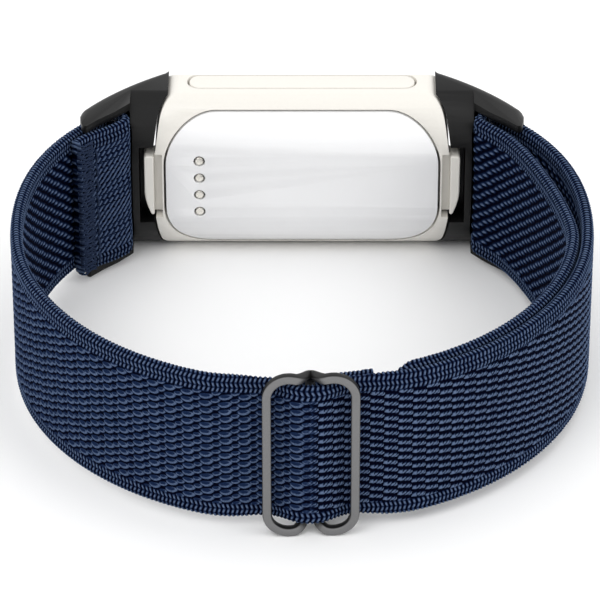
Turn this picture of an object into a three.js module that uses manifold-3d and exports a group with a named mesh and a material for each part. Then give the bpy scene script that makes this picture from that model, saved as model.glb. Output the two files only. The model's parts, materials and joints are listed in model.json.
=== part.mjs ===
// Fitness tracker with an adjustable woven band: a tracker module, two clip-on
// connectors, one length of elastic webbing and a three-bar slider.
// Millimetres. The closed ring lies in the XY plane with its centre on the Z axis,
// the display looks along +Y, the slider sits at -Y, and the band stands on edge on z = 0.

import * as THREE from 'three';
import Module from 'manifold-3d';
import { mergeVertices } from 'three/addons/utils/BufferGeometryUtils.js';

const wasm = await Module();
wasm.setup();

// ---------- driving dimensions ----------
const gap = 0.3;                      // clearance between neighbouring pieces

const bandWidth = 22.7;               // height of tracker, connectors and slider along Z
const zMid = bandWidth / 2;

const webWidth = 20;                  // elastic webbing
const webThick = 1.4;
const ringRadius = 35.0;              // middle of the outer layer
const layerStep = webThick + 0.35;    // outer layer to inner layer, middle to middle
const arcEndAngle = 85;               // where the round stretch turns towards the connector

const barPoint = [24.2, 25.85];       // steel bar of the right connector
const barRadius = 0.5;
const foldRadius = barRadius + 0.25 + webThick / 2;
const webHeading = [-0.67, 0.742];    // direction of the right webbing as it meets the bar
const mouthReach = 2.9;               // straight run from connector mouth to bar
const tailReach = 7.6;                // sewn tail, measured from the left bar
const neckReach = 10.8;               // from each bar to the middle of the flexing neck
const flexHalf = 2.6;                 // half length of a flexing neck
const crossHalf = 6.8;                // half length of the stretch carried by the slider
const loopLeg = 9.2;                  // outer leg of the loop sewn round the slider
const feedLength = 7.4;               // stretch that gives way as the slider travels

const sliderAngle = 1.7;              // place of the slider round the ring, from -Y towards +X
const sliderWire = 1.1;
const sideBarOffset = 5.2;
const sideBarDepth = 35.55;           // radius at which the two side bars stand
const centreBarDepth = 32.1;          // the centre bar dips behind the webbing
const loopRound = 2.6;                // radius of the slider's round loop ends

const caseLength = 38.2;
const caseEndDrop = 1.2;              // how far the convex ends fall back at the corners
const caseBack = 25.2;
const caseShoulder = 29.6;            // where the curved back meets the flat sides
const caseFront = 35.6;
const glassFront = 36.2;

const latchNose = 20.3;
const latchHalf = 4.4;
const latchTravel = 1.0;

// ---------- colours ----------
const material = (color, roughness, metalness = 0) =>
    new THREE.MeshStandardMaterial({ color, roughness, metalness });

const navyWeb = () => material(0x223a5e, 0.9);
const navyThread = () => material(0x2b4670, 0.8);
const gunmetal = () => material(0x6b6b6b, 0.42, 0.9);
const steel = () => material(0xb4b6b8, 0.3, 1);
const blackPlastic = () => material(0x262626, 0.6);
const creamPlastic = () => material(0xf3eee2, 0.4);
const softGold = () => material(0xd8cfb8, 0.3, 0.9);
const windowGrey = () => material(0xd9dadb, 0.12);
const blackGlass = () => material(0x0b0c0e, 0.06);

// ---------- solids ----------
const model = new THREE.Group();

function toSolid(geometry) {
    const bare = geometry.clone();
    bare.deleteAttribute('normal');
    bare.deleteAttribute('uv');
    const merged = mergeVertices(bare, 1e-5);
    return new wasm.Manifold(new wasm.Mesh({
        numProp: 3,
        vertProperties: new Float32Array(merged.attributes.position.array),
        triVerts: new Uint32Array(merged.index.array),
    }));
}

// The largest body only: cuts between nearly coincident faces can leave slivers without volume.
function toGeometry(solid) {
    const [body] = solid.decompose().sort((a, b) => b.volume() - a.volume());
    const mesh = body.getMesh();
    const geometry = new THREE.BufferGeometry();
    geometry.setAttribute('position', new THREE.BufferAttribute(new Float32Array(mesh.vertProperties), 3));
    geometry.setIndex(new THREE.BufferAttribute(new Uint32Array(mesh.triVerts), 1));
    geometry.computeVertexNormals();
    return geometry;
}

function addPiece(name, geometry, look, parent = model) {
    const piece = new THREE.Mesh(geometry, look);
    piece.name = name;
    parent.add(piece);
    return piece;
}

// Extrude an outline along one axis between two levels.
function prism(shape, axis, low, high, curveSegments = 8) {
    const geometry = new THREE.ExtrudeGeometry(shape, { depth: high - low, bevelEnabled: false, curveSegments });
    const place = new THREE.Matrix4();
    const [x, y, z] = [[1, 0, 0], [0, 1, 0], [0, 0, 1]].map((v) => new THREE.Vector3(...v));
    if (axis === 'x') place.makeBasis(y, z, x).setPosition(low, 0, 0);
    if (axis === 'y') place.makeBasis(x, z, y.clone().negate()).setPosition(0, high, 0);
    if (axis === 'z') place.setPosition(0, 0, low);
    return geometry.applyMatrix4(place);
}

const prismSolid = (...args) => toSolid(prism(...args));

function roundedBox(halfWidth, halfHeight, radius, centreX = 0, centreY = 0) {
    const shape = new THREE.Shape();
    const [left, right] = [centreX - halfWidth, centreX + halfWidth];
    const [low, high] = [centreY - halfHeight, centreY + halfHeight];
    shape.moveTo(left + radius, low);
    shape.lineTo(right - radius, low);
    shape.absarc(right - radius, low + radius, radius, -Math.PI / 2, 0, false);
    shape.lineTo(right, high - radius);
    shape.absarc(right - radius, high - radius, radius, 0, Math.PI / 2, false);
    shape.lineTo(left + radius, high);
    shape.absarc(left + radius, high - radius, radius, Math.PI / 2, Math.PI, false);
    shape.lineTo(left, low + radius);
    shape.absarc(left + radius, low + radius, radius, Math.PI, 1.5 * Math.PI, false);
    return shape;
}

function block(x0, x1, y0, y1, z0, z1) {
    return new THREE.BoxGeometry(x1 - x0, y1 - y0, z1 - z0)
        .translate((x0 + x1) / 2, (y0 + y1) / 2, (z0 + z1) / 2);
}

// ---------- the webbing's route in plan ----------
// One length of webbing: sewn round the slider's centre bar, along the right side as the
// inner layer, round the right connector's bar, back as the outer layer, over the
// slider's centre bar, along the left side, round the left bar, and sewn down as a tail.
const radians = THREE.MathUtils.degToRad;
const around = (angle, radius) => [radius * Math.sin(radians(angle)), -radius * Math.cos(radians(angle))];
const along = (angle) => [Math.cos(radians(angle)), Math.sin(radians(angle))];
const planeAngle = (angle) => radians(angle - 90);
const step = (point, heading, distance) => [
    point[0] + heading[0] * distance,
    point[1] + heading[1] * distance,
];
const reverse = ([x, y]) => [-x, -y];
const mirror = ([x, y]) => [-x, y];

const web = new THREE.Path();
const station = {};
let heading = [1, 0];

function curveTo(point, endHeading, startPull, endPull) {
    const from = web.currentPoint.toArray();
    web.bezierCurveTo(...step(from, heading, startPull), ...step(point, endHeading, -endPull), ...point);
    heading = endHeading;
}

const mark = (name) => {
    station[name] = web.getLength();
};

const outNormal = [webHeading[1], -webHeading[0]];
const headingAngle = Math.atan2(webHeading[1], webHeading[0]);
const outerAtBar = step(barPoint, outNormal, foldRadius);
const innerAtBar = step(barPoint, outNormal, -foldRadius);
const outerMouth = step(outerAtBar, webHeading, -mouthReach);
const innerMouth = step(innerAtBar, webHeading, -mouthReach);

const legRadius = sliderWire / 2 + 0.25 + webThick / 2;
const innerRadius = ringRadius - layerStep;
const legAngle = sliderAngle + 14;
const innerJoinAngle = sliderAngle + 20;
const outerJoinAngle = 22;
const crossAngle = 8.2;
const hug = radians(26);                      // how far the loop follows the bar past its top
const crossRadius = sideBarDepth - sliderWire / 2 - gap - webThick / 2;
const crossPeak = glassFront - webThick / 2;
const underCross = crossRadius - webThick - gap;      // inner layer below the crossing

// short leg on the wrist side, then the loop round the slider's centre bar
web.moveTo(...around(legAngle, underCross - webThick - gap));
heading = reverse(along(legAngle));
curveTo(around(sliderAngle + crossAngle + 1, underCross - webThick - gap), reverse(along(sliderAngle + crossAngle + 1)), 1, 1);
curveTo(around(sliderAngle, centreBarDepth - legRadius), reverse(along(sliderAngle)), 2, 2);
const barFacing = planeAngle(sliderAngle);
web.absarc(...around(sliderAngle, centreBarDepth), legRadius, barFacing + Math.PI, barFacing + 2 * Math.PI + hug, false);
mark('loopTop');

// inner layer along the right side to the right bar
heading = [Math.cos(radians(sliderAngle) + hug), Math.sin(radians(sliderAngle) + hug)];
curveTo(around(sliderAngle + crossAngle + 1, underCross - 0.05), along(sliderAngle + crossAngle + 1), 1.5, 2);
curveTo(around(innerJoinAngle, innerRadius), along(innerJoinAngle), 2.5, 3);
web.absarc(0, 0, innerRadius, planeAngle(innerJoinAngle), planeAngle(arcEndAngle), false);
heading = along(arcEndAngle);
curveTo(innerMouth, webHeading, 5.5, 5.5);
web.lineTo(...innerAtBar);
mark('rightBarInner');
web.absarc(...barPoint, foldRadius, headingAngle + Math.PI / 2, headingAngle - Math.PI / 2, true);
mark('rightBarOuter');

// outer layer back to the slider
web.lineTo(...outerMouth);
heading = reverse(webHeading);
curveTo(around(arcEndAngle, ringRadius), reverse(along(arcEndAngle)), 10, 10);
web.absarc(0, 0, ringRadius, planeAngle(arcEndAngle), planeAngle(sliderAngle + outerJoinAngle), true);
heading = reverse(along(sliderAngle + outerJoinAngle));
for (const [angle, radius, pull] of [
    [crossAngle, crossRadius, 3], [0, crossPeak, 2.2], [-crossAngle, crossRadius, 2.2],
    [-outerJoinAngle, ringRadius, 3],
]) {
    const place = sliderAngle + angle;
    curveTo(around(place, radius), reverse(along(place)), pull, pull);
    if (angle === 0) mark('peak');
}

// left side, the fold round the left bar and the sewn tail
web.absarc(0, 0, ringRadius, planeAngle(sliderAngle - outerJoinAngle), planeAngle(-arcEndAngle), true);
heading = reverse(along(-arcEndAngle));
curveTo(mirror(outerMouth), mirror(webHeading), 10, 10);
web.lineTo(...mirror(outerAtBar));
mark('leftBarOuter');

const webPoint = (length, side = 0) => {
    const t = THREE.MathUtils.clamp(length / web.getLength(), 0, 1);
    const point = web.getPoint(t);
    const tangent = web.getTangent(t);
    return [point.x - tangent.y * side, point.y + tangent.x * side];
};
const tailLayer = -(webThick + gap);
const tailEnd = webPoint(station.leftBarOuter - tailReach, tailLayer);
const tailHeading = mirror(reverse(along(arcEndAngle + 38)));
web.absarc(...mirror(barPoint), foldRadius, 1.5 * Math.PI - headingAngle, Math.PI / 2 - headingAngle, true);
mark('leftBarInner');
heading = mirror(reverse(webHeading));
curveTo(tailEnd, tailHeading, 3, 2.5);
mark('tailEnd');

// ---------- webbing stretches ----------
function webbing(name, from, to, spacing, width = webWidth) {
    const count = Math.ceil((to - from) / spacing);
    const lengths = Array.from({ length: count + 1 }, (_, i) => from + (to - from) * i / count);
    const near = lengths.map((length) => webPoint(length, webThick / 2));
    const far = lengths.map((length) => webPoint(length, -webThick / 2)).reverse();
    const shape = new THREE.Shape([...near, ...far].map(([x, y]) => new THREE.Vector2(x, y)));
    addPiece(name, prism(shape, 'z', zMid - width / 2, zMid + width / 2), navyWeb());
}

const runSpacing = 2.2;
const foldSpacing = 0.55;
const loopEnd = station.loopTop + loopLeg;
const innerNeck = station.rightBarInner - neckReach;
const outerNeck = station.rightBarOuter + neckReach;
const leftNeck = station.leftBarOuter - neckReach;
const crossStart = station.peak - crossHalf;
const crossEnd = station.peak + crossHalf;

webbing('strap_end_loop', 0, loopEnd, foldSpacing, 16);
webbing('strap_right_inner_feed', loopEnd + gap, loopEnd + gap + feedLength, runSpacing);
webbing('strap_right_inner_run', loopEnd + 2 * gap + feedLength, innerNeck - flexHalf - gap, runSpacing);
webbing('strap_right_inner_neck', innerNeck - flexHalf, innerNeck + flexHalf, runSpacing);
webbing('strap_right_fold', innerNeck + flexHalf + gap, outerNeck - flexHalf - gap, foldSpacing);
webbing('strap_right_outer_neck', outerNeck - flexHalf, outerNeck + flexHalf, runSpacing);
webbing('strap_right_outer_run', outerNeck + flexHalf + gap, crossStart - 2 * gap - feedLength, runSpacing);
webbing('strap_right_outer_feed', crossStart - gap - feedLength, crossStart - gap, runSpacing);
webbing('strap_slider_crossing', crossStart, crossEnd, 0.9, 19);
webbing('strap_left_feed', crossEnd + gap, crossEnd + gap + feedLength, runSpacing);
webbing('strap_left_run', crossEnd + 2 * gap + feedLength, leftNeck - flexHalf - gap, runSpacing);
webbing('strap_left_neck', leftNeck - flexHalf, leftNeck + flexHalf, runSpacing);
webbing('strap_left_fold', leftNeck + flexHalf + gap, station.tailEnd, foldSpacing);

// ---------- sewing ----------
function seam(name, [x, y], halfHeight) {
    const thread = new THREE.CylinderGeometry(0.22, 0.22, 2 * halfHeight, 8);
    addPiece(name, thread.rotateX(Math.PI / 2).translate(x, y, zMid), navyThread());
}

const seamClear = webThick / 2 + 0.28;
seam('tail_seam', webPoint(station.tailEnd - 0.9, seamClear), 9.4);
seam('end_loop_seam', webPoint(0.9, -seamClear), 7.4);

// ---------- three-bar slider ----------
const slider = new THREE.Group();
slider.rotation.z = radians(sliderAngle);
model.add(slider);

function sliderFrame() {
    const half = sliderWire / 2;
    const section = new THREE.Shape().absarc(0, 0, half, 0, 2 * Math.PI, false);
    const lowTurn = half + loopRound;
    const highTurn = bandWidth - lowTurn;
    // the loops stay flat until they come together, then dip to the centre bar
    const dip = (angle) => THREE.MathUtils.smoothstep(Math.abs(angle), radians(105), radians(172));
    const turn = (side, centreZ, from, to) => Array.from({ length: 17 }, (_, i) => {
        const angle = from + (to - from) * i / 16;
        const depth = THREE.MathUtils.lerp(sideBarDepth, centreBarDepth, dip(angle));
        const u = loopRound * (1 + Math.cos(angle));
        return new THREE.Vector3(side * u, -depth, centreZ + loopRound * Math.sin(angle));
    });
    const barOverlap = 0.5;
    const bar = new THREE.CylinderGeometry(half + 0.08, half + 0.08, highTurn - lowTurn + barOverlap, 16)
        .rotateX(Math.PI / 2).translate(0, -centreBarDepth, zMid);
    let solid = toSolid(bar);
    for (const side of [-1, 1]) {
        const route = new THREE.CatmullRomCurve3([
            new THREE.Vector3(0, -centreBarDepth, highTurn - 0.9),
            ...turn(side, highTurn, Math.PI, 0),
            new THREE.Vector3(side * sideBarOffset, -sideBarDepth, zMid),
            ...turn(side, lowTurn, 0, -Math.PI),
            new THREE.Vector3(0, -centreBarDepth, lowTurn + 0.9),
        ], false, 'centripetal');
        solid = solid.add(toSolid(new THREE.ExtrudeGeometry(section, {
            steps: 72, extrudePath: route, curveSegments: 10,
        })));
    }
    return toGeometry(solid);
}
addPiece('slider_frame', sliderFrame(), gunmetal(), slider);

// ---------- tracker outlines ----------
const caseEnd = caseLength / 2;

// Display-side outline in X and Z: convex ends and rounded corners, grown by a margin.
function caseOutline(margin = 0, inset = 0) {
    const corner = 3 + margin;
    const reach = caseEnd - inset + margin;
    const half = zMid - inset + margin;
    const shoulder = reach - caseEndDrop;
    const shape = new THREE.Shape();
    shape.moveTo(corner - shoulder, zMid - half);
    shape.lineTo(shoulder - corner, zMid - half);
    shape.quadraticCurveTo(shoulder, zMid - half, shoulder + 0.45, zMid - half + corner);
    shape.quadraticCurveTo(2 * reach - shoulder - 0.45, zMid, shoulder + 0.45, zMid + half - corner);
    shape.quadraticCurveTo(shoulder, zMid + half, shoulder - corner, zMid + half);
    shape.lineTo(corner - shoulder, zMid + half);
    shape.quadraticCurveTo(-shoulder, zMid + half, -shoulder - 0.45, zMid + half - corner);
    shape.quadraticCurveTo(shoulder + 0.45 - 2 * reach, zMid, -shoulder - 0.45, zMid - half + corner);
    shape.quadraticCurveTo(-shoulder, zMid - half, corner - shoulder, zMid - half);
    return shape;
}

// Cross-section in Y and Z: flat middle of the back, curved flanks, flat sides, round front edge.
function caseSection(backShift = 0) {
    const flatHalf = 3.2;
    const frontRound = 1.6;
    const back = caseBack + backShift;
    const shoulder = caseShoulder + backShift;
    const shape = new THREE.Shape();
    shape.moveTo(back, zMid + flatHalf);
    shape.lineTo(back, zMid - flatHalf);
    shape.bezierCurveTo(back, 4.4, shoulder - 2.2, 1.6, shoulder, 0.45);
    shape.quadraticCurveTo(shoulder + 0.6, 0, shoulder + 1.3, 0);
    shape.lineTo(caseFront - frontRound, 0);
    shape.absarc(caseFront - frontRound, frontRound, frontRound, -Math.PI / 2, 0, false);
    shape.lineTo(caseFront, bandWidth - frontRound);
    shape.absarc(caseFront - frontRound, bandWidth - frontRound, frontRound, 0, Math.PI / 2, false);
    shape.lineTo(shoulder + 1.3, bandWidth);
    shape.quadraticCurveTo(shoulder + 0.6, bandWidth, shoulder, bandWidth - 0.45);
    shape.bezierCurveTo(shoulder - 2.2, bandWidth - 1.6, back, bandWidth - 4.4, back, zMid + flatHalf);
    return shape;
}

const caseBody = prismSolid(caseSection(), 'x', -caseEnd - 1, caseEnd + 1, 10)
    .intersect(prismSolid(caseOutline(), 'y', caseBack - 1, caseFront + 1, 10));

// Everything behind a copy of the curved back that is moved forward by a thickness.
const behindBack = (outline, thickness) => prismSolid(outline, 'y', caseBack - 4, caseShoulder)
    .subtract(prismSolid(caseSection(thickness), 'x', -caseEnd - 2, caseEnd + 2, 10));

// ---------- tracker ----------
const tracker = new THREE.Group();
model.add(tracker);

const windowHalfX = 17.5;
const windowHalfZ = 9.5;
const windowCorner = 6.4;
const coverThick = 1.0;
const contactX = -13.2;
const contactRows = [-3.75, -1.25, 1.25, 3.75];
const contactRadius = 0.55;
const panelCentre = 32.7;
const ledge = 34.1;
const cavityX = 14.8;
const notchX = 16.6;
const latchBack = notchX + latchTravel + 0.15;
const latchLow = caseBack + coverThick + 2 * gap;
const latchHigh = latchLow + 1.8;

const windowOutline = (margin = 0) => roundedBox(
    windowHalfX + margin, windowHalfZ + margin, windowCorner + margin, 0, zMid);

const alongY = (radius, x, z, y0, y1, sides = 12) => new THREE.CylinderGeometry(radius, radius, y1 - y0, sides)
    .translate(x, (y0 + y1) / 2, z);

function caseShell() {
    const glassHole = roundedBox(17, 9.7, 2.6, 0, zMid);
    let solid = caseBody
        .subtract(prismSolid(glassHole, 'y', ledge, glassFront + 1))
        .subtract(prismSolid(roundedBox(cavityX, 8.7, 1.5, 0, zMid), 'y', 26.8, ledge + 1, 3))
        .subtract(toSolid(block(-12, 14, 24, 27.5, 4.5, bandWidth - 4.5)))
        .subtract(toSolid(block(contactX - 1.2, -11.9, 24, 27.5, 5, bandWidth - 5)))
        .subtract(behindBack(windowOutline(gap), coverThick + gap));
    for (const side of [-1, 1]) {
        const [x0, x1] = [side * notchX, side * 20.8].sort((a, b) => a - b);
        const z = latchHalf + gap;
        solid = solid
            .subtract(toSolid(block(x0, x1, latchLow - gap - 0.05, latchHigh + gap, zMid - z, zMid + z)))
            .subtract(toSolid(block(...[side * 18, side * 20.8].sort((a, b) => a - b),
                24, latchHigh, zMid - z, zMid + z)));
    }
    const recess = roundedBox(14.8, 1.9, 1.8, 0, panelCentre);
    solid = solid
        .subtract(prismSolid(recess, 'z', -1, 1.1, 6))
        .subtract(prismSolid(recess, 'z', bandWidth - 1.1, bandWidth + 1, 6));
    return toGeometry(solid);
}
addPiece('case_shell', caseShell(), creamPlastic(), tracker);

function backCover() {
    let solid = behindBack(windowOutline(), coverThick).intersect(caseBody);
    for (const row of contactRows) {
        solid = solid.subtract(toSolid(alongY(contactRadius + 0.2, contactX, zMid + row, 24, 28)));
    }
    return toGeometry(solid);
}
addPiece('back_cover', backCover(), windowGrey(), tracker);

contactRows.forEach((row, i) => addPiece(`charge_contact_${i + 1}`,
    alongY(contactRadius, contactX, zMid + row, caseBack + 0.08, 27.6), softGold(), tracker));

const sidePanel = (z0) => prism(roundedBox(14.5, 1.6, 1.5, 0, panelCentre), 'z', z0, z0 + 0.8, 6);
addPiece('side_panel_lower', sidePanel(0), creamPlastic(), tracker);
addPiece('side_panel_upper', sidePanel(bandWidth - 0.8), creamPlastic(), tracker);

const frontOutline = (halfX, halfZ, corner) => roundedBox(halfX, halfZ, corner, 0, zMid);

function displayGlass() {
    const bevel = 0.45;
    const depth = glassFront - ledge - 0.6 - bevel;
    const glass = new THREE.ExtrudeGeometry(frontOutline(16.7 - bevel, 9.4 - bevel, 2), {
        depth: depth - bevel, bevelSize: bevel, bevelThickness: bevel, bevelSegments: 3, curveSegments: 6,
    });
    return glass.rotateX(Math.PI / 2).translate(0, glassFront - bevel, 0);
}
addPiece('display_glass', displayGlass(), blackGlass(), tracker);

const gasket = frontOutline(16.6, 9.3, 2.2);
gasket.holes.push(frontOutline(15.6, 8.9, 1.8));
addPiece('display_gasket', prism(gasket, 'y', ledge + 0.05, ledge + 0.35, 4), material(0x141414, 0.8), tracker);
addPiece('display_panel', prism(frontOutline(14.1, 8.2, 1), 'y', 33.2, 34.3, 3), material(0x101418, 0.3), tracker);
addPiece('main_board', block(-14.3, 14.3, 32.1, 32.9, 3.4, 19.3), material(0x1f5b3a, 0.6), tracker);
addPiece('battery', prism(roundedBox(8.2, 7.2, 1, -5, zMid), 'y', 28.4, 31.7, 3), material(0xc6c8ca, 0.4, 0.6), tracker);
addPiece('vibration_motor', alongY(4, 8.8, zMid, 28.4, 31.4, 24), material(0xa9abad, 0.3, 0.9), tracker);
addPiece('sensor_board', block(-9.5, 9.5, 27.1, 27.9, 6.2, 16.5), material(0x1f5b3a, 0.6), tracker);

// ---------- latches and their springs ----------
function latchShape(side) {
    const outer = latchNose - 0.9;
    const shape = new THREE.Shape();
    shape.moveTo(side * latchBack, zMid - latchHalf);
    shape.lineTo(side * outer, zMid - latchHalf);
    shape.quadraticCurveTo(side * (2 * latchNose - outer), zMid, side * outer, zMid + latchHalf);
    shape.lineTo(side * latchBack, zMid + latchHalf);
    return shape;
}

function springShape(side) {
    const [low, high] = [notchX + 0.1, latchBack - 0.35];
    const folds = [-3.2, -1.6, 0, 1.6, 3.2];
    const line = (offset) => folds.map((z, i) =>
        new THREE.Vector2(side * ((i % 2 ? high - 0.25 : low) + offset), zMid + z));
    return new THREE.Shape([...line(0), ...line(0.3).reverse()]);
}

for (const [word, side] of [['left', -1], ['right', 1]]) {
    addPiece(`latch_${word}`, prism(latchShape(side), 'y', latchLow, latchHigh, 16), creamPlastic(), tracker);
    addPiece(`latch_spring_${word}`,
        prism(springShape(side), 'y', latchLow + 0.3, latchHigh - 0.3), steel(), tracker);
}

// ---------- connectors ----------
function connectorShape(side) {
    const shape = new THREE.Shape();
    const to = (x, y) => [side * x, y];
    shape.moveTo(...to(17.2, 25.3));
    shape.lineTo(...to(22, 25.0));
    shape.lineTo(...to(27, 21.5));
    shape.quadraticCurveTo(...to(27.8, 21.1), ...to(28, 22.2));
    shape.lineTo(...to(28.3, 25.2));
    shape.quadraticCurveTo(...to(28.3, 25.9), ...to(27.8, 26.5));
    shape.quadraticCurveTo(...to(24, 31.9), ...to(17.8, 35.9));
    shape.lineTo(...to(17.2, 35.9));
    return shape;
}

// The end walls stop short of the wrist side, and their back edge steps down to the wing tip.
const wallCut = (side, low, high) => {
    const shape = new THREE.Shape();
    const points = [[15.5, 19], [15.5, 27.4], [22, 27.2], [23.9, 24.9], [25.9, 23], [27.3, 21.4], [27.3, 19]];
    points.forEach(([x, y], i) => shape[i ? 'lineTo' : 'moveTo'](side * x, y));
    return prismSolid(shape, 'z', low, high);
};

// Beside the tracker the connector has the tracker's own curved back.
const behindFlank = (side) => {
    const [low, high] = [side * 15.5, side * 22].sort((a, b) => a - b);
    return toSolid(block(low, high, 18, 31, -2, bandWidth + 2))
        .subtract(prismSolid(caseSection(0.06), 'x', low - 1, high + 1, 10));
};

function connector(side) {
    const slotHalf = foldRadius + webThick / 2 + 0.3;
    const [bx, by] = barPoint;
    const away = reverse(webHeading);
    const slot = new THREE.Shape();
    slot.absarc(side * bx, by, slotHalf, side > 0 ? headingAngle - Math.PI / 2 : 1.5 * Math.PI - headingAngle,
        side > 0 ? headingAngle + Math.PI / 2 : Math.PI / 2 - headingAngle, side < 0);
    for (const edge of [-1, 1]) {
        const [x, y] = step(step(barPoint, outNormal, edge * slotHalf), away, 12);
        slot.lineTo(side * x, y);
    }
    const slotMargin = (bandWidth - webWidth) / 2 - gap;
    const pocketZ = latchHalf + 1.2;
    const [pocketLow, pocketHigh] = [side * 17.6, side * 20.95].sort((a, b) => a - b);
    const around = prismSolid(caseOutline(gap), 'y', 20, 40, 12);
    const barHole = new THREE.CylinderGeometry(barRadius + 0.1, barRadius + 0.1, bandWidth - 0.8, 16)
        .rotateX(Math.PI / 2).translate(side * bx, by, zMid);
    const solid = prismSolid(connectorShape(side), 'z', 0.05, bandWidth - 0.05, 12)
        .subtract(around)
        .subtract(prismSolid(slot, 'z', slotMargin, bandWidth - slotMargin, 20))
        .subtract(toSolid(block(pocketLow, pocketHigh, 20, latchHigh + 2 * gap, zMid - pocketZ, zMid + pocketZ)))
        .subtract(toSolid(barHole))
        .subtract(behindFlank(side));
    return toGeometry(solid.subtract(wallCut(side, -1, 1.3)).subtract(wallCut(side, bandWidth - 1.3, bandWidth + 1)));
}

for (const [word, side] of [['left', -1], ['right', 1]]) {
    const clip = new THREE.Group();
    model.add(clip);
    addPiece(`connector_${word}`, connector(side), blackPlastic(), clip);
    const bar = new THREE.CylinderGeometry(barRadius, barRadius, bandWidth - 1.1, 16).rotateX(Math.PI / 2);
    const barPiece = addPiece(`strap_bar_${word}`, bar, steel(), clip);
    barPiece.position.set(side * barPoint[0], barPoint[1], zMid);
}

export default model;
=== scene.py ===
import json
import math

import bmesh
import bpy
import numpy as np
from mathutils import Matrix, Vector

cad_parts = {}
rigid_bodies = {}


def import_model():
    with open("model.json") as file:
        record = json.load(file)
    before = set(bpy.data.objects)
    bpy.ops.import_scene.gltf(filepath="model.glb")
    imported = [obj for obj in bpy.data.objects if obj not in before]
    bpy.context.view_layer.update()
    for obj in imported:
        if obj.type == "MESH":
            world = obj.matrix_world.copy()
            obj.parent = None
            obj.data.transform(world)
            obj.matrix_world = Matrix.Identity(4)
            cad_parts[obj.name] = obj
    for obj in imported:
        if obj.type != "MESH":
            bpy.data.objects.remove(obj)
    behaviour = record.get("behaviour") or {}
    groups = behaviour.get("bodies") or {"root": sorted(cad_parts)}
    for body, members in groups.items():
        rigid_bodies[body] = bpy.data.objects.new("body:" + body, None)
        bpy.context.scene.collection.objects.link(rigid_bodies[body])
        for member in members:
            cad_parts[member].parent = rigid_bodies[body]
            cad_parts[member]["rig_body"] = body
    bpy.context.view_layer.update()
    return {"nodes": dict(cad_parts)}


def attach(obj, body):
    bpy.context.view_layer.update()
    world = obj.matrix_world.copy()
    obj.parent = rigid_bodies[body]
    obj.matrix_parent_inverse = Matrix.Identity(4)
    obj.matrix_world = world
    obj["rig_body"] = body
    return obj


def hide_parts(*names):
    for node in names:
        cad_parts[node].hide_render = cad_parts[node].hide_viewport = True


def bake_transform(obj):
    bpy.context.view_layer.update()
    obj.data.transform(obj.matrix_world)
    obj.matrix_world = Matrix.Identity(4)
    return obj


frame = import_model()
nodes = frame["nodes"]
mm = 0.001
print("frame loaded with", len(nodes), "solids")


# shader arithmetic: one socket, and the material it belongs to

class Flow:  # a socket that can be added, multiplied and so on
    def __init__(self, paint, socket):
        self.paint = paint
        self.socket = socket

    def math(self, operation, *others):
        return self.paint.node("ShaderNodeMath", {"operation": operation}, dict(enumerate((self, *others))))

    def __add__(self, other):
        return self.math("ADD", other)

    def __sub__(self, other):
        return self.math("SUBTRACT", other)

    def __mul__(self, other):
        return self.math("MULTIPLY", other)

    def __truediv__(self, other):
        return self.math("DIVIDE", other)

    def __rsub__(self, other):
        return self.paint.node("ShaderNodeMath", {"operation": "SUBTRACT"}, {0: other, 1: self})

    def __neg__(self):
        return self.math("MULTIPLY", -1.0)

    __radd__ = __add__
    __rmul__ = __mul__


class Paint:  # a material under construction
    def __init__(self, name, **constants):
        self.material = bpy.data.materials.new(name)
        self.material.use_nodes = True
        self.tree = self.material.node_tree
        self.tree.nodes.clear()
        self.shader = self.tree.nodes.new("ShaderNodeBsdfPrincipled")
        output = self.tree.nodes.new("ShaderNodeOutputMaterial")
        self.tree.links.new(self.shader.outputs[0], output.inputs[0])
        for socketName, value in constants.items():
            self.feed(self.shader, socketName.replace("_", " "), value)

    def feed(self, node, key, value):
        if isinstance(value, Flow):
            self.tree.links.new(value.socket, node.inputs[key])
        elif isinstance(value, tuple) and len(value) == 3 and node.inputs[key].type == "RGBA":
            node.inputs[key].default_value = (*value, 1.0)
        else:
            node.inputs[key].default_value = value

    def node(self, kind, settings, sockets, output=0):
        made = self.tree.nodes.new(kind)
        for key, value in settings.items():
            setattr(made, key, value)
        for key, value in sockets.items():
            self.feed(made, key, value)
        return Flow(self, made.outputs[output])

    def blendColours(self, first, second, factor):
        return self.node("ShaderNodeMix", {"data_type": "RGBA"}, {0: factor, 6: first, 7: second}, 2)

    def noise(self, scale, detail=2.0, vector=None):
        place = vector or self.node("ShaderNodeTexCoord", {}, {}, "Object")
        return self.node("ShaderNodeTexNoise", {}, {"Vector": place, "Scale": scale, "Detail": detail})

    def bump(self, height, distance, strength=1.0):
        sockets = {"Height": height, "Distance": distance, "Strength": strength}
        bumped = self.node("ShaderNodeBump", {}, sockets)
        self.feed(self.shader, "Normal", bumped)


arrayMath = {
    "FLOOR": np.floor, "ABSOLUTE": np.abs, "MAXIMUM": np.maximum, "MINIMUM": np.minimum,
    "SINE": np.sin, "COSINE": np.cos,
}


def act(operation, first, *others):  # the same weave formula works on mesh points and on sockets
    if isinstance(first, Flow):
        return first.math(operation, *others)
    return arrayMath[operation](first, *others)


def clipped(x):
    return act("MINIMUM", act("MAXIMUM", x, 0.0), 1.0)


def smoothStep(x, low, high):
    t = clipped((x - low) / (high - low))
    return t * t * (3 - 2 * t)


def centred(x, period):  # distance to the nearest multiple
    return x - period * act("FLOOR", x / period + 0.5)


def wave(turns):
    return act("COSINE", turns * (2 * math.pi)) * 0.5 + 0.5


# the webbing's route in plan, in millimetres

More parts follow.
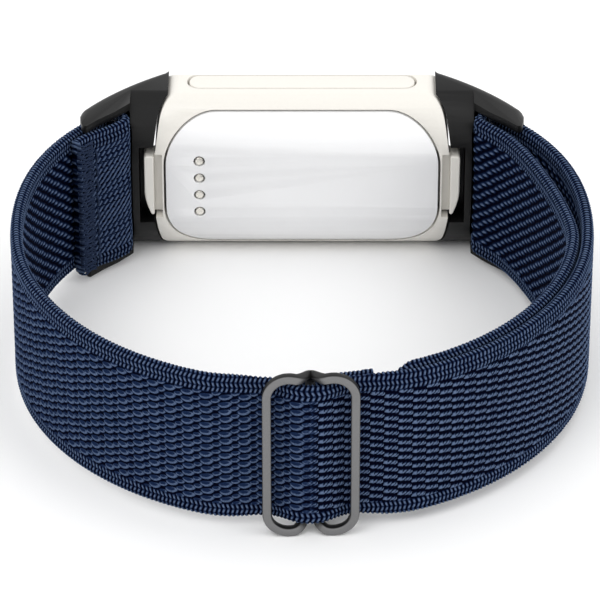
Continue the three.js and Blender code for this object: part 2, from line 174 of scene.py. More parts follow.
webbing = {
    "width": 20.0,
    "thick": 1.4,
    "middle": 11.35,
    "ringRadius": 35.0,
    "innerRadius": 33.25,
    "barPoint": (24.2, 25.85),
    "foldRadius": 1.45,
    "sliderAngle": 1.7,
    "barDepth": 32.1,
    "legRadius": 1.5,
    "crossRadius": 34.0,
    "crossPeak": 35.5,
    "crossAngle": 8.2,
    "hug": 26,
    "underCross": 32.3,
    "tailReach": 7.6,
    "barHeading": (-0.67, 0.742),
    "neckStraight": 2.9,
    "sideAngle": 85,
    "outerRelease": 22,
    "innerRelease": 20,
    "flapReach": 14,
    "stepAlong": 0.165,
    "stepAcross": 0.19,
}


def around(angle, radius):
    return np.array([radius * math.sin(math.radians(angle)), -radius * math.cos(math.radians(angle))])


def along(angle):
    return np.array([math.cos(math.radians(angle)), math.sin(math.radians(angle))])


def mirrored(point):
    return np.array([-point[0], point[1]])


class Route:  # a smooth line through curves and arcs, measured along its length
    def __init__(self, start, heading):
        self.points = [start]
        self.heading = heading
        self.marks = {}

    def curveTo(self, point, heading, startPull, endPull):
        first = self.points[-1]
        second = first + self.heading * startPull
        third = point - heading * endPull
        for t in np.linspace(0, 1, 161)[1:]:
            u = 1 - t
            self.points.append(first * u**3 + 3 * second * u * u * t + 3 * third * u * t * t + point * t**3)
        self.heading = heading

    def arc(self, centre, radius, start, end):
        count = max(24, int(abs(end - start) * radius / 0.12))
        for angle in np.linspace(start, end, count + 1)[1:]:
            a = math.radians(angle - 90)
            self.points.append(centre + radius * np.array([math.cos(a), math.sin(a)]))
        self.heading = along(end) if end > start else -along(end)

    def lineTo(self, point):
        first = self.points[-1]
        for t in np.linspace(0, 1, 17)[1:]:
            self.points.append(first + (point - first) * t)

    def mark(self, name):
        self.marks[name] = len(self.points) - 1

    def measure(self):
        self.line = np.array(self.points)
        self.lengths = np.concatenate([[0], np.cumsum(np.linalg.norm(np.diff(self.line, axis=0), axis=1))])
        slope = np.gradient(self.line, self.lengths, axis=0)
        self.slope = slope / np.linalg.norm(slope, axis=1)[:, None]
        self.stations = {name: self.lengths[i] for name, i in self.marks.items()}

    def at(self, length):  # points and the direction across the webbing's thickness
        spots = np.stack([np.interp(length, self.lengths, self.line[:, k]) for k in (0, 1)], -1)
        slope = np.stack([np.interp(length, self.lengths, self.slope[:, k]) for k in (0, 1)], -1)
        slope /= np.linalg.norm(slope, axis=-1, keepdims=True)
        return spots, np.stack([-slope[..., 1], slope[..., 0]], -1)


def layRoute():
    w = webbing
    turn = w["sliderAngle"]
    heading = np.array(w["barHeading"])
    heading = heading / np.linalg.norm(heading)
    outward = np.array([heading[1], -heading[0]])
    bar = np.array(w["barPoint"])
    outerBar = bar + outward * w["foldRadius"]
    innerBar = bar - outward * w["foldRadius"]
    lean = math.degrees(math.atan2(heading[1], heading[0]))
    leg = w["underCross"] - w["thick"] - 0.3
    under = turn + w["crossAngle"] + 1
    flap = turn + w["flapReach"]
    route = Route(around(flap, leg), -along(flap))
    route.curveTo(around(under, leg), -along(under), 1, 1)
    route.curveTo(around(turn, w["barDepth"] - w["legRadius"]), -along(turn), 2, 2)
    route.arc(around(turn, w["barDepth"]), w["legRadius"], turn + 180, turn + 360 + w["hug"])
    route.mark("loopTop")
    route.curveTo(around(under, w["underCross"] - 0.05), along(under), 1.5, 2)
    release = turn + w["innerRelease"]
    route.curveTo(around(release, w["innerRadius"]), along(release), 2.5, 3)
    route.arc(np.zeros(2), w["innerRadius"], release, w["sideAngle"])
    route.curveTo(innerBar - heading * w["neckStraight"], heading, 5.5, 5.5)
    route.lineTo(innerBar)
    route.mark("rightBarInner")
    route.arc(bar, w["foldRadius"], lean + 180, lean)
    route.mark("rightBarOuter")
    route.heading = -heading
    route.lineTo(outerBar - heading * w["neckStraight"])
    side = w["sideAngle"]
    route.curveTo(around(side, w["ringRadius"]), -along(side), 10, 10)
    route.arc(np.zeros(2), w["ringRadius"], side, turn + w["outerRelease"])
    for angle, radius, pull in [(w["crossAngle"], w["crossRadius"], 3), (0, w["crossPeak"], 2.2),
                                (-w["crossAngle"], w["crossRadius"], 2.2),
                                (-w["outerRelease"], w["ringRadius"], 3)]:
        route.curveTo(around(turn + angle, radius), -along(turn + angle), pull, pull)
        if angle == 0:
            route.mark("peak")
    route.arc(np.zeros(2), w["ringRadius"], turn - w["outerRelease"], -side)
    route.curveTo(mirrored(outerBar - heading * w["neckStraight"]), mirrored(heading), 10, 10)
    route.lineTo(mirrored(outerBar))
    route.mark("leftBarOuter")
    route.measure()
    tailSpot, tailSide = route.at(np.array([route.stations["leftBarOuter"] - w["tailReach"]]))
    tailEnd = tailSpot[0] - tailSide[0] * (w["thick"] + 0.3)
    route.arc(mirrored(bar), w["foldRadius"], 360 - lean, 180 - lean)
    route.mark("leftBarInner")
    route.heading = mirrored(-heading)
    route.curveTo(tailEnd, mirrored(-along(123)), 3, 2.5)
    route.mark("tailEnd")
    route.measure()
    return route


route = layRoute()
station = route.stations
print("webbing route laid,", round(route.lengths[-1], 1), "mm long")


# weave: heights from 0 in the gaps to 1 on top of the yarns

weave = {
    "rowPitch": 1.04,
    "bundleLength": 1.65,
    "bundleStep": 0.46,
    "strandPitch": 0.3,
    "leafPitch": 2.2,
    "threadPitch": 1.05,
    "ribPitch": 1.12,
    "ribSlope": 0.8,
    "selvageWidth": 2.1,
    "relief": 0.2,
}


def oval(dx, dy, halfLong, halfWide):
    a = dx / halfLong
    b = dy / halfWide
    return 1 - a * a - b * b


def bundleFace(x, z):  # bundles of slanted strands, each column stepped from the last
    pitch, length = weave["rowPitch"], weave["bundleLength"]
    x = x + 0.05 * act("SINE", z * 2.3 + x * 0.37)
    column = act("FLOOR", x / length)
    dx = x - column * length
    row = z / pitch + column * weave["bundleStep"] + dx * 0.11
    dz = (row - act("FLOOR", row) - 0.5) * pitch
    lean = math.radians(41)
    across = dx * math.sin(lean) - dz * math.cos(lean)
    long = dx * math.cos(lean) + dz * math.sin(lean)
    nearest = act("FLOOR", across / weave["strandPitch"]) * weave["strandPitch"] + weave["strandPitch"] / 2
    nearest = act("MINIMUM", act("MAXIMUM", nearest, 0.14), 1.0)
    strand = oval(long - nearest / math.tan(lean), across - nearest, 0.58, 0.18)
    blob = oval(dx - 0.3, dz, 0.36, 0.34)
    return clipped(act("MAXIMUM", strand, blob) * 1.25)


def leaf(dx, dz, halfLong, halfWide):
    rise = dz - dx * 0.13 - dx * dx * 0.2 + 0.05
    body = clipped(oval(dx, rise, halfLong, halfWide) * 1.9)
    # a dip at the upper left of each leaf, which also gives painted shade on that side in the colour
    shadedCore = clipped(oval(dx + halfLong * 0.12, rise - halfWide * 0.3, halfLong * 0.62, halfWide * 0.5) * 2)
    return body * (1 - shadedCore * 0.42)


def leafFace(x, z):  # big and small boat-shaped yarns in a brick layout, with holes at their tips
    pitch, length = weave["rowPitch"], weave["leafPitch"]
    x = x + 0.07 * act("SINE", z * 1.7 + x * 0.31)
    z = z + 0.05 * act("SINE", x * 0.83 + z * 0.4)
    big = leaf(centred(x, length), centred(z, pitch), 0.98, 0.47)
    small = leaf(centred(x - length / 2, length), centred(z - pitch / 2, pitch), 0.66, 0.36)
    return act("MAXIMUM", big, small) * 0.87


def ribFace(x, z):  # slanted ribs crossed by fine threads, with toothed grooves between them
    pitch = weave["ribPitch"]
    lift = (z - x * weave["ribSlope"]) / math.hypot(1, weave["ribSlope"])
    run = (x + z * weave["ribSlope"]) / math.hypot(1, weave["ribSlope"])
    side = centred(lift + 0.05 * act("SINE", run * 2.1), pitch) / (pitch / 2)
    thread = wave(run / weave["threadPitch"] + side * 0.45)
    ridge = clipped(1.25 - act("ABSOLUTE", side + 0.25 * thread) * 1.35)
    return clipped(ridge * (0.35 + 0.75 * thread))


def tailFace(x, z):  # steep twill lines with rows of pinholes
    lean = math.radians(48)
    line = wave((x * math.sin(lean) - z * math.cos(lean)) / 0.62)
    hole = oval(centred(x + centred(z, 1.6) * 0.2, 0.8), centred(z, 0.8), 0.24, 0.2)
    return clipped(0.3 + 0.7 * line - clipped(hole) * 0.8)


def selvageFace(x, edge):  # rows of leaning loops that make a braid
    rowHeight = 0.7
    row = act("FLOOR", edge / rowHeight)
    place = edge / rowHeight - row - 0.5
    lean = wave(row / 2) * 2 - 1
    loop = wave(x / 0.54 + place * 0.42 * lean + 0.1 * act("SINE", x * 0.9 + edge))
    return clipped(loop * 1.25) * (1 - place * place * 2.2)


def weaveHeight(s, z, side, plusFace, minusFace):
    x = -s
    edge = webbing["width"] / 2 - act("ABSOLUTE", z)
    inner = minusFace(x, z)
    face = inner + (plusFace(x, z) - inner) * smoothStep(side, -0.15, 0.15)
    border = selvageFace(x, edge)
    inside = smoothStep(edge, weave["selvageWidth"] - 0.15, weave["selvageWidth"] + 0.15)
    return border + (face - border) * inside


def windowFace(x, z):  # leaves left of the slider's middle, slanted bundles right of it
    bundles = bundleFace(x, z)
    passed = smoothStep(-x, station["peak"] - 1.2, station["peak"] + 1.2)
    return bundles + (leafFace(x, z) - bundles) * passed


def tailSide(x, z):  # the fold is ribbed, the sewn-down tail is twilled
    leaves = leafFace(x, z)
    turned = smoothStep(-x, station["leftBarOuter"] - 1, station["leftBarOuter"])
    return leaves + (tailFace(x, z) - leaves) * turned


navy = {
    # colour ramp by yarn height: gap is painted shade in the hollows between the yarns, rising through
    # middle to bright on the crests
    "gap": (0.0002, 0.0006, 0.006),
    "middle": (0.0075, 0.0175, 0.053),
    "bright": (0.1, 0.142, 0.235),
    "roughness": 0.72,
    "bumpDistance": 0.00016,
}


def webbingPaint(name, plusFace, minusFace):
    paint = Paint(name, Specular_IOR_Level=0.02)
    place = paint.node("ShaderNodeAttribute", {"attribute_name": "weave"}, {}, "Vector")
    s, z, side = (paint.node("ShaderNodeSeparateXYZ", {}, {0: place}, k) for k in range(3))
    height = weaveHeight(s, z, side, plusFace, minusFace)
    fibres = paint.noise(5200.0, 2.0)
    patches = paint.noise(420.0, 2.0)
    # shade is the yarn height with fibre and patch tone; low places get painted shade through the ramp
    # below
    shade = clipped(height * (0.72 + 0.5 * fibres) + (patches - 0.5) * 0.16)
    colour = paint.blendColours(navy["gap"], navy["middle"], smoothStep(shade, 0.1, 0.62))
    colour = paint.blendColours(colour, navy["bright"], smoothStep(shade, 0.5, 1.08))
    paint.feed(paint.shader, "Base Color", colour)
    paint.feed(paint.shader, "Roughness", navy["roughness"] + fibres * 0.2)
    paint.bump(height + fibres * 0.25, navy["bumpDistance"])
    return paint.material


def webHalfWidth(s):  # the webbing is squeezed a little where it runs through the slider
    half = np.full_like(s, webbing["width"] / 2)
    crossing = 1 - np.clip((np.abs(s - station["peak"]) - 6.5) / 3, 0, 1)
    loop = 1 - np.clip((s - station["loopTop"] - 8) / 4, 0, 1)
    return half - 0.35 * crossing - 2.0 * loop * loop * (3 - 2 * loop)


def webMesh(name, start, end, plusFace, minusFace, material):
    rows = int((end - start) / webbing["stepAlong"])
    s = np.linspace(start, end, rows + 1)
    half = webHalfWidth(s)
    radius = webbing["thick"] / 2
    columns = int((webbing["width"] - 2 * radius) / webbing["stepAcross"])
    turns = 9
    flat = np.linspace(-1, 1, columns + 1)
    bend = np.linspace(0, math.pi, turns + 1)[1:-1]
    centre = np.concatenate([flat, np.ones(turns - 1), flat[::-1], -np.ones(turns - 1)])
    sideways = np.concatenate([np.ones(columns + 1), np.cos(bend), -np.ones(columns + 1), -np.cos(bend)])
    upward = np.concatenate([np.zeros(columns + 1), np.sin(bend), np.zeros(columns + 1), -np.sin(bend)])
    arcLength = np.minimum(bend, math.pi - bend) * radius
    beyond = np.concatenate([np.zeros(columns + 1), arcLength, np.zeros(columns + 1), -arcLength])
    ring = len(centre)
    z = centre[None, :] * (half - radius)[:, None] + beyond[None, :]
    side = np.broadcast_to(sideways[None, :], z.shape)
    lengths = np.broadcast_to(s[:, None], z.shape)
    height = weaveHeight(lengths, z, side, plusFace, minusFace)
    lift = radius + weave["relief"] * (height - 0.55)
    spots, across = route.at(s)
    points = np.empty((rows + 1, ring, 3))
    points[..., :2] = spots[:, None, :] + across[:, None, :] * (sideways * lift)[..., None]
    points[..., 2] = webbing["middle"] + centre * (half - radius)[:, None] + upward * lift
    index = np.arange((rows + 1) * ring).reshape(rows + 1, ring)
    after = np.roll(index, -1, axis=1)
    quads = np.stack([index[:-1], after[:-1], after[1:], index[1:]], -1).reshape(-1, 4)
    pairs = np.arange(columns + 1)
    partner = columns + turns - 1 + 1 + (columns - pairs)
    caps = []
    for row, flip in ((0, False), (rows, True)):
        near, far = index[row][pairs], index[row][partner]
        cap = np.stack([near[:-1], far[:-1], far[1:], near[1:]], -1)
        caps.append(cap[:, ::-1] if flip else cap)
    faces = [tuple(f) for f in np.concatenate([quads, *caps])]
    for row, flip in ((0, False), (rows, True)):
        topEdge = [int(i) for i in index[row][columns:columns + turns + 1]]
        lowEdge = [int(i) for i in (*index[row][2 * columns + turns:], index[row][0])]
        for edge in (topEdge, lowEdge):
            faces.append(tuple(edge) if flip else tuple(reversed(edge)))
    mesh = bpy.data.meshes.new(name)
    mesh.from_pydata((points.reshape(-1, 3) * mm).tolist(), [], [tuple(int(i) for i in f) for f in faces])
    mesh.update()
    mesh.attributes.new("weave", "FLOAT_VECTOR", "POINT").data.foreach_set(
        "vector", np.stack([lengths, z, side], -1).reshape(-1).astype(np.float32))
    return addPiece(name, mesh, material)


def addPiece(name, mesh, material):
    mesh.shade_smooth()
    mesh.materials.clear()
    mesh.materials.append(material)
    piece = bpy.data.objects.new(name, mesh)
    bpy.context.scene.collection.objects.link(piece)
    return piece


def ringPoint(angle, radius=35.0):
    return (*(around(angle, radius) * mm), webbing["middle"] * mm)


peak = station["peak"]
leftSplit = peak + 38
rightSplit = peak - 36
innerSplit = station["loopTop"] + 38
foldTop = (station["rightBarInner"] + station["rightBarOuter"]) / 2
barSeam = peak - 5.2
webPaints = {
    "window": webbingPaint("navyWindowWeave", windowFace, ribFace),
    "tail": webbingPaint("navyTailWeave", tailSide, ribFace),
    "bundles": webbingPaint("navyBundleWeave", bundleFace, ribFace),
    "ribs": webbingPaint("navyRibWeave", ribFace, ribFace),
}


def foldFace(x, z):  # bundles on the outer layer give way to ribs round the fold
    ribs = ribFace(x, z)
    return ribs + (bundleFace(x, z) - ribs) * smoothStep(-x, foldTop - 1, foldTop + 1)


webPaints["fold"] = webbingPaint("navyFoldWeave", foldFace, ribFace)

webStretches = [
    ("webbingLeftFront", barSeam, leftSplit, windowFace, "window", "slider", (-50, -10),
     ("strap_left_feed", "strap_slider_crossing")),
    ("webbingLeftBack", leftSplit, station["tailEnd"], tailSide, "tail", "clip_left", None,
     ("strap_left_run", "strap_left_neck", "strap_left_fold")),
    ("webbingRightFront", rightSplit, barSeam, bundleFace, "bundles", "slider", (50, 10),
     ("strap_right_outer_feed",)),
    ("webbingRightBack", foldTop, rightSplit, foldFace, "fold", "clip_right", None,
     ("strap_right_outer_run", "strap_right_outer_neck", "strap_right_fold")),
    ("webbingInnerBack", innerSplit, foldTop, foldFace, "fold", "clip_right", None,
     ("strap_right_inner_run", "strap_right_inner_neck")),
    ("webbingInnerFront", 0.0, innerSplit, ribFace, "ribs", "slider", (50, 10),
     ("strap_right_inner_feed", "strap_end_loop")),
]
neckAim = {"clip_left": ((-33.1, 15.7), (-30.1, 20.6)), "clip_right": ((31.8, 14.4), (28.6, 19.5))}
webPieces = {}
for name, start, end, face, paintName, body, angles, stoodFor in webStretches:
    piece = webMesh(name, start, end, face, ribFace, webPaints[paintName])
    if angles:
        ringPoint(angles[0])
        ringPoint(angles[1])
        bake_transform(piece)
    else:
        low, high = ((*(np.array(p) * mm), webbing["middle"] * mm) for p in neckAim[body])
        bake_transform(piece)
        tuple(low)
        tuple(high)
    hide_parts(*stoodFor)
    webPieces[name] = piece
    print(name, "woven,", len(piece.data.polygons), "faces")


# plain finishes

def fineGrain(paint, scale, distance, colour, spread, roughness, roughSpread):
    grain = paint.noise(scale, 3.0)
    paint.feed(paint.shader, "Base Color",
               paint.blendColours(tuple(c * (1 - spread) for c in colour), colour, grain))
    paint.feed(paint.shader, "Roughness", roughness + (grain - 0.5) * roughSpread)
    paint.bump(grain, distance)
    return paint.material


gunmetal = {
    # flank colour is painted shade and front colour is painted highlight, chosen by which way the surface
    # faces
    "shadedFlank": (0.012, 0.012, 0.0125),
    "front": (0.17, 0.17, 0.172),
    "roughness": 0.4,
    "grain": 2600.0,
}


def gunmetalPaint():  # painted highlight on the flat front, painted shade on the flanks
    paint = Paint("gunmetalCoat", Metallic=0.6)
    normal = paint.node("ShaderNodeTexCoord", {}, {}, "Normal")
    forward = paint.node("ShaderNodeSeparateXYZ", {}, {0: normal}, 1) * -1.0
    grain = paint.noise(gunmetal["grain"], 2.0)
    # painted light: paler where the wire faces forward, darker where it turns away
    colour = paint.blendColours(gunmetal["shadedFlank"], gunmetal["front"],
                                smoothStep(forward + (grain - 0.5) * 0.12, 0.25, 0.9))
    paint.feed(paint.shader, "Base Color", colour)
    paint.feed(paint.shader, "Roughness", gunmetal["roughness"] + grain * 0.12)
    return paint.material


finishes = {
    "buckle": gunmetalPaint(),
    "steel": fineGrain(Paint("polishedSteel", Metallic=1.0), 1800.0, 0.000002,
                       (0.55, 0.56, 0.57), 0.1, 0.28, 0.1),
    "connector": fineGrain(Paint("softBlackPlastic", Specular_IOR_Level=0.24), 3200.0, 0.000006,
                           (0.0045, 0.0045, 0.0047), 0.35, 0.42, 0.12),
    "case": fineGrain(Paint("creamSatinPlastic", Coat_Weight=0.15, Coat_Roughness=0.25), 2400.0, 0.000002,
                      (0.79, 0.765, 0.71), 0.04, 0.36, 0.08),
    "back_window": fineGrain(Paint("paleGlossWindow", Coat_Weight=0.6, Coat_Roughness=0.05), 300.0, 0.0,
                             (0.92, 0.92, 0.925), 0.02, 0.36, 0.05),
    "cover_glass": fineGrain(Paint("blackCoverGlass", Coat_Weight=1.0, Coat_Roughness=0.02), 200.0, 0.0,
                             (0.006, 0.006, 0.008), 0.2, 0.06, 0.03),
    "contact": fineGrain(Paint("platedContact", Metallic=0.8), 3000.0, 0.000002,
                         (0.86, 0.83, 0.76), 0.08, 0.25, 0.1),
    "board": fineGrain(Paint("greenBoard", Coat_Weight=0.4), 900.0, 0.00001,
                       (0.012, 0.11, 0.045), 0.5, 0.4, 0.2),
    "cell": fineGrain(Paint("foilCell", Metallic=0.5), 700.0, 0.00002,
                      (0.6, 0.61, 0.62), 0.15, 0.4, 0.15),
    "gasket": fineGrain(Paint("blackGasket"), 2000.0, 0.00001, (0.01, 0.01, 0.01), 0.3, 0.75, 0.1),
    "thread": fineGrain(Paint("navyThread", Specular_IOR_Level=0.05), 5200.0, 0.00002,
                        (0.032, 0.05, 0.105), 0.75, 0.75, 0.1),
}
print("finishes mixed")

# hard pieces: the same shape as the solid, with its edges rounded as moulded

moulded = {
    # node: (piece, bevel in mm, segments, slot)
    "connector_left": ("connectorLeftBody", 0.3, 3, "connector"),
    "connector_right": ("connectorRightBody", 0.3, 3, "connector"),
    "case_shell": ("trackerCase", 0.12, 2, "case"),
    "back_cover": ("trackerWindow", 0.08, 2, "back_window"),
    "side_panel_lower": ("sidePanelLower", 0.15, 3, "case"),
    "side_panel_upper": ("sidePanelUpper", 0.15, 3, "case"),
    "charge_contact_1": ("contactPin1", 0.1, 3, "contact"),
    "charge_contact_2": ("contactPin2", 0.1, 3, "contact"),
    "charge_contact_3": ("contactPin3", 0.1, 3, "contact"),
    "charge_contact_4": ("contactPin4", 0.1, 3, "contact"),
}


wingRim = {"width": 1.3, "segments": 6, "outward": (0.72, 0.69), "reach": 36.9}


def roundRim(work):  # the connector's outer rims, along both long sides of the wing
    a, b = wingRim["outward"]
    heights = [v.co.z for v in work.verts]
    rims = []
    for edge in work.edges:
        level = [v.co.z for v in edge.verts]
        flat = any(all(abs(z - side) < 0.05 * mm for z in level) for side in (min(heights), max(heights)))
        if flat and all(abs(v.co.x) * a + v.co.y * b > wingRim["reach"] * mm for v in edge.verts):
            rims.append(edge)
    bmesh.ops.bevel(work, geom=rims, offset=wingRim["width"] * mm, offset_type="OFFSET",
                    segments=wingRim["segments"], profile=0.5, affect="EDGES", clamp_overlap=False)


def refined(node, name, width, segments, slotName):
    mesh = nodes[node].data.copy()
    work = bmesh.new()
    work.from_mesh(mesh)
    bmesh.ops.remove_doubles(work, verts=work.verts, dist=2e-6)
    bmesh.ops.dissolve_limit(work, angle_limit=math.radians(0.5), verts=work.verts, edges=work.edges)
    if slotName == "connector":
        roundRim(work)
    work.to_mesh(mesh)
    work.free()
    mesh.name = name
    piece = addPiece(name, mesh, finishes[slotName])
    bevel = piece.modifiers.new("mouldedEdge", "BEVEL")
    bevel.width = width * mm
    bevel.segments = segments
    bevel.limit_method = "ANGLE"
    bevel.angle_limit = math.radians(28)
    bevel.harden_normals = True
    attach(piece, nodes[node]["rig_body"])
    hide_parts(node)
    return piece


for node, (name, width, segments, slotName) in moulded.items():
    refined(node, name, width, segments, slotName)

kept = {
    "strap_bar_left": "steel", "strap_bar_right": "steel",
    "display_glass": "cover_glass", "display_gasket": "gasket", "display_panel": "cover_glass",
    "main_board": "board", "sensor_board": "board", "battery": "cell", "vibration_motor": "steel",
    "end_loop_seam": "thread",
}
for node, finish in kept.items():
    piece = nodes[node]
    if not piece.material_slots:
        piece.data.materials.append(None)
    for holder in piece.material_slots:
        holder.material = finishes[finish]
print("hard pieces finished")

# three-bar slider

buckle = {
    "wire": 1.1,
    "round": 2.6,
    "offset": 5.2,
    "sideDepth": 35.55,
    "middleDepth": 32.1,
    "height": 22.7,
    "squareness": 4.0,
    "sides": 20,
}


def sweep(points, tangents, outwards, section, closed=False):
    vertices, faces = [], []
    count = len(section)
    for point, tangent, outward in zip(points, tangents, outwards):
        t = tangent / np.linalg.norm(tangent)
        n = outward - t * (outward @ t)
        n = n / np.linalg.norm(n)
        b = np.cross(t, n)
        vertices.extend(point + n * p + b * q for p, q in section)
    for i in range(len(points) - (0 if closed else 1)):
        j = (i + 1) % len(points)
        for k in range(count):
            m = (k + 1) % count
            faces.append((i * count + k, i * count + m, j * count + m, j * count + k))
    if not closed:
        faces.append(tuple(reversed(range(count))))
        faces.append(tuple(range((len(points) - 1) * count, len(points) * count)))
    return vertices, faces


def makeBuckle():
    b = buckle
    half = b["wire"] / 2
    lowTurn = half + b["round"]
    highTurn = b["height"] - lowTurn
    corner = 2 / b["squareness"]
    angles = [2 * math.pi * k / b["sides"] for k in range(b["sides"])]
    section = [(half * math.copysign(abs(math.cos(a)) ** corner, math.cos(a)),
                half * math.copysign(abs(math.sin(a)) ** corner, math.sin(a))) for a in angles]
    turn = math.radians(webbing["sliderAngle"])

    def placed(u, z, dip=0.0):
        d = b["sideDepth"] + (b["middleDepth"] - b["sideDepth"]) * dip
        x = u * math.cos(turn) + d * math.sin(turn)
        y = u * math.sin(turn) - d * math.cos(turn)
        return np.array([x, y, z])

    def bend(side, middle, start, end):  # a round loop end that dips as it reaches the middle bar
        for a in np.linspace(start, end, 41):
            dip = float(smoothStep(np.float64(abs(a)), math.radians(105), math.radians(172)))
            yield placed(side * b["round"] * (1 + math.cos(a)), middle + b["round"] * math.sin(a), dip)

    vertices, faces = [], []
    for side in (-1, 1):
        points = [placed(0.0, highTurn - 0.9, 1.0), placed(0.0, highTurn - 0.45, 1.0)]
        points += bend(side, highTurn, math.pi, 0)
        points += [placed(side * b["offset"], z) for z in np.linspace(highTurn, lowTurn, 18)[1:-1]]
        points += bend(side, lowTurn, 0, -math.pi)
        points += [placed(0.0, lowTurn + 0.45, 1.0), placed(0.0, lowTurn + 0.9, 1.0)]
        points = np.array(points)
        tangents = np.gradient(points, axis=0)
        outwards = np.tile([math.sin(turn), -math.cos(turn), 0.0], (len(points), 1))
        loopVertices, loopFaces = sweep(points, tangents, outwards, section)
        faces += [tuple(i + len(vertices) for i in f) for f in loopFaces]
        vertices += loopVertices
    bar = np.array([placed(0.0, z, 1.0) for z in np.linspace(lowTurn - 0.25, highTurn + 0.25, 8)])
    barSection = [(p * 1.12, q * 1.12) for p, q in section]
    barVertices, barFaces = sweep(bar, np.gradient(bar, axis=0),
                                  np.tile([math.sin(turn), -math.cos(turn), 0.0], (8, 1)), barSection)
    faces += [tuple(i + len(vertices) for i in f) for f in barFaces]
    vertices += barVertices
    mesh = bpy.data.meshes.new("sliderBuckle")
    mesh.from_pydata([tuple(v * mm) for v in vertices], [], faces)
    piece = addPiece("sliderBuckle", mesh, finishes["buckle"])
    mesh.set_sharp_from_angle(angle=math.radians(60))
    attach(piece, "slider")
    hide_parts("slider_frame")
    return piece


makeBuckle()
print("slider bent")

# sprung latches: a tongue in the case and a nose that stands out into the connector's pocket

latch = {
    "tongueRoot": 17.75,
    "noseRoot": 19.04,
    "tip": 20.3,
    "half": 4.35,
    "back": 25.45,
    "floor": 26.55,
    "front": 28.6,
    "taperFrom": -0.9,
    "taperTo": 19.45,
    "edge": 0.22,
}


def addPrism(work, outline, low, high):  # a closed outline in x and z, drawn out along y
    rings = [[work.verts.new((x * mm, y * mm, z * mm)) for x, z in outline] for y in (low, high)]
    work.faces.new(rings[0])
    work.faces.new(rings[1][::-1])
    for k in range(len(outline)):
        m = (k + 1) % len(outline)
        work.faces.new((rings[0][m], rings[0][k], rings[1][k], rings[1][m]))


def makeLatch(word, side):
    k = latch
    top, low = webbing["middle"] + k["half"], webbing["middle"] - k["half"]
    nose = [(side * k["noseRoot"], top), (side * (k["tip"] - 0.15), top), (side * k["tip"], top - 0.3)]
    for t in np.linspace(0, 1, 12):
        z = webbing["middle"] + k["taperFrom"] + (low - webbing["middle"] - k["taperFrom"]) * t
        nose.append((side * (k["tip"] + (k["taperTo"] - k["tip"]) * t ** 1.8), z))
    nose.append((side * k["noseRoot"], low))
    tongue = [(side * k["tongueRoot"], top), (side * (k["noseRoot"] + 0.1), top),
              (side * (k["noseRoot"] + 0.1), low), (side * k["tongueRoot"], low)]
    work = bmesh.new()
    addPrism(work, nose, k["back"], k["front"])
    addPrism(work, tongue, k["floor"], k["front"] - 0.05)
    bmesh.ops.recalc_face_normals(work, faces=work.faces)
    mesh = bpy.data.meshes.new("latchKey" + word.capitalize())
    work.to_mesh(mesh)
    work.free()
    piece = addPiece(mesh.name, mesh, finishes["case"])
    bevel = piece.modifiers.new("mouldedEdge", "BEVEL")
    bevel.width = k["edge"] * mm
    bevel.segments = 3
    bevel.limit_method = "ANGLE"
    bevel.angle_limit = math.radians(35)
    bevel.harden_normals = True
    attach(piece, "latch_" + word)
    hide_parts("latch_" + word)


def makeSpring(word, side):  # a copy of the spring, set between the case and its latch
    node = nodes["latch_spring_" + word]
    mesh = node.data.copy()
    mesh.name = "latchSpring" + word.capitalize()
    piece = addPiece(mesh.name, mesh, finishes["steel"])
    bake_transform(piece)
    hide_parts(node.name)


for word, side in (("left", -1), ("right", 1)):
    makeLatch(word, side)
    makeSpring(word, side)
print("latches and springs made")

# sewing on the tail: a line of stitches and the overlocked end

sewing = {
    "seamFromEnd": 2.9,
    "stitch": 1.75,
    "gap": 0.4,
    "radius": 0.15,
    "lowest": 2.2,
    "highest": 20.5,
    "overlockWidth": 2.5,
    "overlockPitch": 0.52,
    "overlockRadius": 0.11,
    "seed": 7,
}


def tailPoint(s, lift, z):
    end = station["tailEnd"]
    spots, across = route.at(np.array([min(s, end)]))
    onward = np.array([across[0][1], -across[0][0]])
    spot = spots[0] + across[0] * lift + onward * max(0.0, s - end)
    return np.array([spot[0], spot[1], z])


def sewThreads(name, lines, radius, body, stoodFor=()):
    section = [(radius * math.cos(a), radius * math.sin(a)) for a in np.linspace(0, 2 * math.pi, 9)[:-1]]
    vertices, faces = [], []
    for line in lines:
        points = np.array(line)
        away = (0.31, 0.17, 0.93)  # never along a thread
        outwards = np.tile(away, (len(points), 1))
        tube, tubeFaces = sweep(points, np.gradient(points, axis=0), outwards, section)
        faces += [tuple(i + len(vertices) for i in f) for f in tubeFaces]
        vertices += tube
    mesh = bpy.data.meshes.new(name)
    mesh.from_pydata([tuple(v * mm) for v in vertices], [], faces)
    piece = addPiece(name, mesh, finishes["thread"])
    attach(piece, body)
    if stoodFor:
        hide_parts(*stoodFor)
    return piece


def stitchLines():
    k = sewing
    z = k["lowest"]
    surface = webbing["thick"] / 2
    while z + k["stitch"] < k["highest"]:
        line = []
        for t in np.linspace(0, 1, 9):
            lift = surface - 0.12 + 0.34 * math.sin(math.pi * t) ** 0.7
            s = station["tailEnd"] - k["seamFromEnd"] + 0.12 * (t - 0.5)
            line.append(tailPoint(s, lift, z + k["stitch"] * t))
        yield line
        z += k["stitch"] + k["gap"]


def overlockLines():
    k = sewing
    draw = np.random.default_rng(k["seed"])
    surface = webbing["thick"] / 2
    for z in np.arange(k["lowest"] - 0.4, k["highest"] + 0.4, k["overlockPitch"]):
        for slant in (0.55, -0.45):
            drift = draw.normal(0, 0.07, 3)
            line = []
            for t in np.linspace(0, 1, 11):
                s = station["tailEnd"] - k["overlockWidth"] * (1 - t) + 0.16
                lift = surface + 0.1 + 0.12 * math.sin(math.pi * t) + 0.05 * drift[0]
                lift -= max(0.0, t - 0.88) / 0.12 * 0.5
                line.append(tailPoint(s + drift[1] * 0.5, lift, z + slant * (t - 0.5) + drift[2]
                                      + 0.09 * math.sin(7 * t + drift[0] * 20)))
            yield line


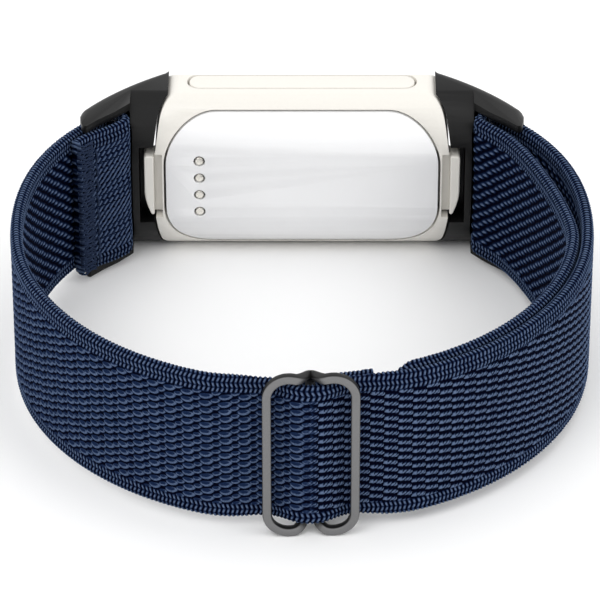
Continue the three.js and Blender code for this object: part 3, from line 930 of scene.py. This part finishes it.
sewThreads("tailStitches", list(stitchLines()), sewing["radius"], "clip_left", ("tail_seam",))
sewThreads("tailOverlock", list(overlockLines()), sewing["overlockRadius"], "clip_left")
print("tail sewn")

# camera, floor and light

studio = {
    "cameraPlace": (0.0, -0.4535, 0.30025),
    "cameraTilt": 57.35,
    "lens": 257.4,
    "shiftX": -0.0033,
    "floorShade": (0.97, 0.97, 0.97),
    "worldStrength": 1.08,
    "keyEnergy": 1.7,
    "fillEnergy": 1.2,
}

camera = bpy.data.objects.new("camera", bpy.data.cameras.new("camera"))
bpy.context.scene.collection.objects.link(camera)
camera.location = studio["cameraPlace"]
camera.rotation_euler = (math.radians(studio["cameraTilt"]), 0, 0)
camera.data.lens = studio["lens"]
camera.data.sensor_width = 36
camera.data.shift_x = studio["shiftX"]
camera.data.clip_start = 0.01
camera.data.clip_end = 20
bpy.context.scene.camera = camera

floorMesh = bpy.data.meshes.new("studioFloor")
reach = 4.0
floorMesh.from_pydata([(-reach, -reach, 0), (reach, -reach, 0), (reach, reach, 0), (-reach, reach, 0)], [],
                      [(0, 1, 2, 3)])
floor = addPiece("studioFloor", floorMesh,
                 fineGrain(Paint("paleFloor"), 30.0, 0.0, studio["floorShade"], 0.01, 0.8, 0.02))


def softbox(name, place, aim, size, energy):
    lamp = bpy.data.objects.new(name, bpy.data.lights.new(name, "AREA"))
    bpy.context.scene.collection.objects.link(lamp)
    lamp.data.shape = "DISK"
    lamp.data.size = size
    lamp.data.energy = energy
    lamp.location = place
    direction = np.array(aim) - np.array(place)
    lamp.rotation_euler = Vector(direction).to_track_quat("-Z", "Y").to_euler()
    return lamp


softbox("keyLight", (-0.35, -0.45, 0.75), (0, 0, 0.01), 0.5, studio["keyEnergy"])
softbox("fillLight", (0.6, -0.3, 0.5), (0, 0, 0.01), 0.6, studio["fillEnergy"])

world = bpy.data.worlds.new("studioWorld")
bpy.context.scene.world = world
world.use_nodes = True
world.node_tree.nodes["Background"].inputs[0].default_value = (1, 1, 1, 1)
world.node_tree.nodes["Background"].inputs[1].default_value = studio["worldStrength"]
bpy.context.scene.view_settings.view_transform = "Standard"
print("studio set")
